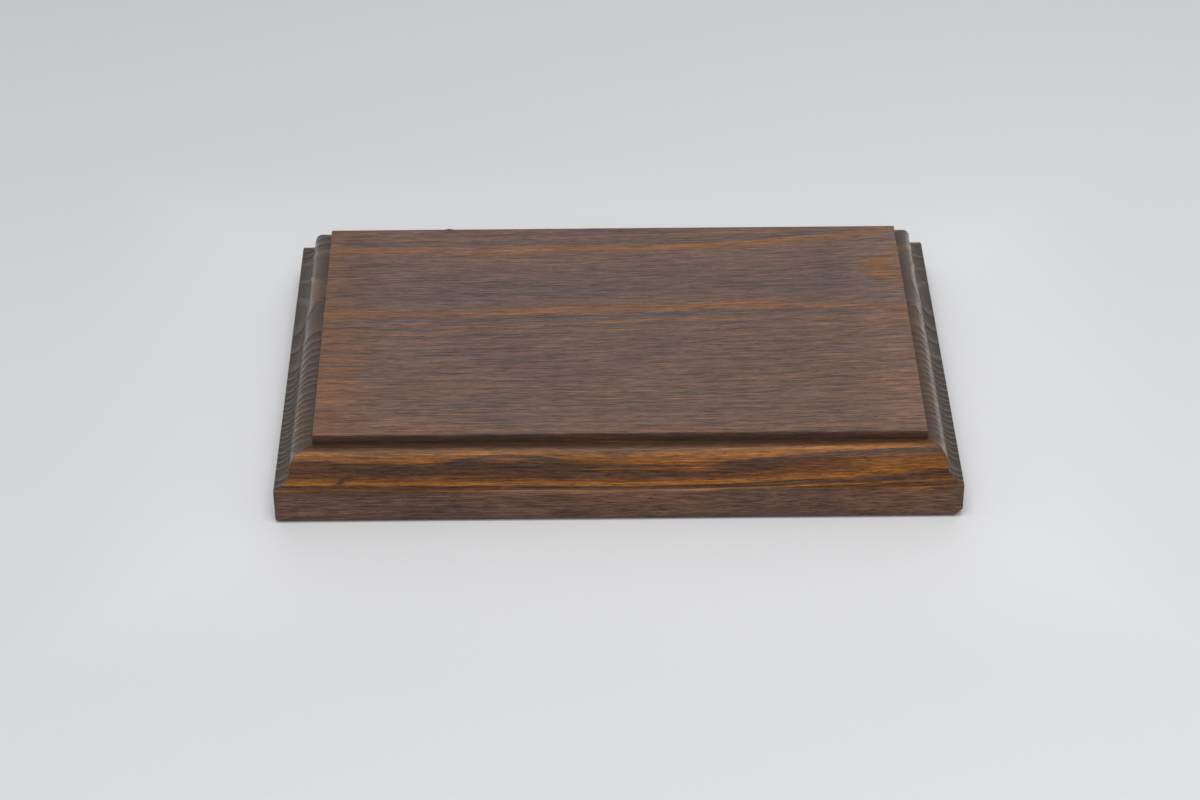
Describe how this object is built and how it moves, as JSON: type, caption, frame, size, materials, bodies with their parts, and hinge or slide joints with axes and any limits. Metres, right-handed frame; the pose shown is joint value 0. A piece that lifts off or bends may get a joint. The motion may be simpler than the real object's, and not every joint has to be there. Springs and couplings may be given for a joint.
{
  "type": "wooden plaque",
  "caption": "Rectangular wooden award plaque with a stepped ogee edge, a blank flat field and a flush keyhole hanger in its back.",
  "frame": {"origin": "middle of the flat back face, on the surface that the plaque lies on", "axes": "+X along the length and the grain; +Y towards the edge that is uppermost on a wall; +Z out through the field"},
  "size_m": [0.18, 0.12, 0.021],
  "materials": {
    "stained_softwood": "dark walnut stain under satin-gloss varnish",
    "zinc_plated_steel": "bright zinc plate",
    "screw_steel": "bright zinc plate"
  },
  "bodies": {
    "root": {"plaque_board": "stained_softwood", "keyhole_plate": "zinc_plated_steel", "keyhole_screw_upper": "screw_steel", "keyhole_screw_lower": "screw_steel"}
  },
  "joints": []
}
